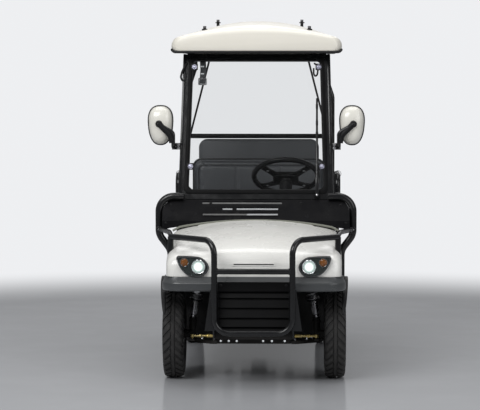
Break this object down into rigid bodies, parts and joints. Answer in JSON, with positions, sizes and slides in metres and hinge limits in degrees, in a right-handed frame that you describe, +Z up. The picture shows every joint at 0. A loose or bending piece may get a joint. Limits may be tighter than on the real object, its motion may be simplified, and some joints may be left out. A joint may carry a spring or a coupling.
{
  "type": "golf cart",
  "caption": "Compact golf cart with front and rear-facing benches, framed windscreen, moulded roof, bull bar, steered front wheels and a lifting front seat.",
  "frame": {"origin": "on the floor below the middle of the cart", "axes": "+X the cart's left side, -Y its front, +Z up"},
  "size_m": [1.218, 2.422, 1.966],
  "materials": {
    "cream_shell": "moulded, satin gloss",
    "white_shell": "moulded, gloss",
    "black_trim": "fine grain",
    "black_paint": "satin powder coat",
    "charcoal_shell": "satin",
    "chassis_paint": "satin",
    "bare_steel": "plated",
    "zinc_yellow": "yellow zinc plate",
    "wheel_silver": "silver paint",
    "tyre_rubber": "worn, ribbed",
    "seat_vinyl": "grained vinyl",
    "floor_rubber": "ribbed mat",
    "clear_glass": "clear",
    "lamp_glass": "clear and amber",
    "mirror_face": "silvered",
    "red_lens": "ribbed lens",
    "pack_case": "moulded case"
  },
  "bodies": {
    "chassis": {"chassis_frame": "chassis_paint", "front_cradle": "chassis_paint", "front_arms": "chassis_paint", "struts": "bare_steel", "rear_axle": "chassis_paint", "leaf_springs": "chassis_paint", "battery_block": "pack_case", "floor_pan": "floor_rubber", "sills": "black_trim", "front_body": "white_shell", "arch_lips": "black_trim", "front_bumper": "charcoal_shell", "grille": "black_trim", "bull_bar": "black_paint", "cowl_panel": "black_trim", "side_hoops": "black_paint", "windscreen_frame": "black_paint", "windscreen": "clear_glass", "dashboard": "black_trim", "steering_column": "black_trim", "pedals": "bare_steel", "head_lamps": "black_trim", "lamp_lenses": "lamp_glass", "mirrors": "cream_shell", "mirror_glasses": "mirror_face", "mirror_arms": "black_paint", "rear_body": "white_shell", "rear_seat": "seat_vinyl", "front_backrest": "seat_vinyl", "rear_backrest": "seat_vinyl", "seat_frame": "black_paint", "arm_rests": "black_paint", "roof": "cream_shell", "roof_rim": "black_trim", "roof_studs": "black_trim", "roof_frame": "black_paint", "foot_rest": "chassis_paint", "tail_lamps": "red_lens", "rear_liners": "black_trim"},
    "knuckle_left": {"knuckle_left": "chassis_paint"},
    "knuckle_right": {"knuckle_right": "chassis_paint"},
    "rack": {"steering_rack": "zinc_yellow"},
    "wheel_fl": {"tyre_fl": "tyre_rubber", "rim_fl": "wheel_silver"},
    "wheel_fr": {"tyre_fr": "tyre_rubber", "rim_fr": "wheel_silver"},
    "wheel_rl": {"tyre_rl": "tyre_rubber", "rim_rl": "wheel_silver"},
    "wheel_rr": {"tyre_rr": "tyre_rubber", "rim_rr": "wheel_silver"},
    "steering": {"steering_wheel": "black_trim"},
    "wiper": {"wiper": "black_trim"},
    "seat_lid": {"front_seat": "seat_vinyl"}
  },
  "joints": [
    {"name": "steer_left", "type": "hinge", "parent": "chassis", "child": "knuckle_left", "pos_m": [0.335, -0.775, 0.235], "axis": [0, 0, 1], "range_deg": [-28, 28]},
    {"name": "steer_right", "type": "hinge", "parent": "chassis", "child": "knuckle_right", "pos_m": [-0.335, -0.775, 0.235], "axis": [0, 0, 1], "range_deg": [-28, 28]},
    {"name": "rack_slide", "type": "slide", "parent": "chassis", "child": "rack", "axis": [1, 0, 0], "range_m": [-0.047, 0.047]},
    {"name": "steering_turn", "type": "hinge", "parent": "chassis", "child": "steering", "pos_m": [0.165, 0.025, 1.05], "axis": [0, 0.5592, 0.829], "range_deg": [-336, 336]},
    {"name": "wiper_sweep", "type": "hinge", "parent": "chassis", "child": "wiper", "pos_m": [0.34, -0.37749, 0.95743], "axis": [0, -0.9681, 0.2504], "range_deg": [0, 85]},
    {"name": "seat_lift", "type": "hinge", "parent": "chassis", "child": "seat_lid", "pos_m": [0, 0.105, 0.6253], "axis": [1, 0, 0], "range_deg": [0, 45]},
    {"name": "roll_fl", "type": "hinge", "parent": "knuckle_left", "child": "wheel_fl", "pos_m": [0.435, -0.775, 0.235], "axis": [1, 0, 0], "continuous": true},
    {"name": "roll_fr", "type": "hinge", "parent": "knuckle_right", "child": "wheel_fr", "pos_m": [-0.435, -0.775, 0.235], "axis": [1, 0, 0], "continuous": true},
    {"name": "roll_rl", "type": "hinge", "parent": "chassis", "child": "wheel_rl", "pos_m": [0.3985, 0.745, 0.235], "axis": [1, 0, 0], "continuous": true},
    {"name": "roll_rr", "type": "hinge", "parent": "chassis", "child": "wheel_rr", "pos_m": [-0.3985, 0.745, 0.235], "axis": [1, 0, 0], "continuous": true}
  ],
  "couplings": [
    {"joint": "steer_right", "follows": "steer_left", "ratio": 1},
    {"joint": "rack_slide", "follows": "steer_left", "m_per_rad": 0.096},
    {"joint": "steering_turn", "follows": "steer_left", "ratio": 12}
  ]
}
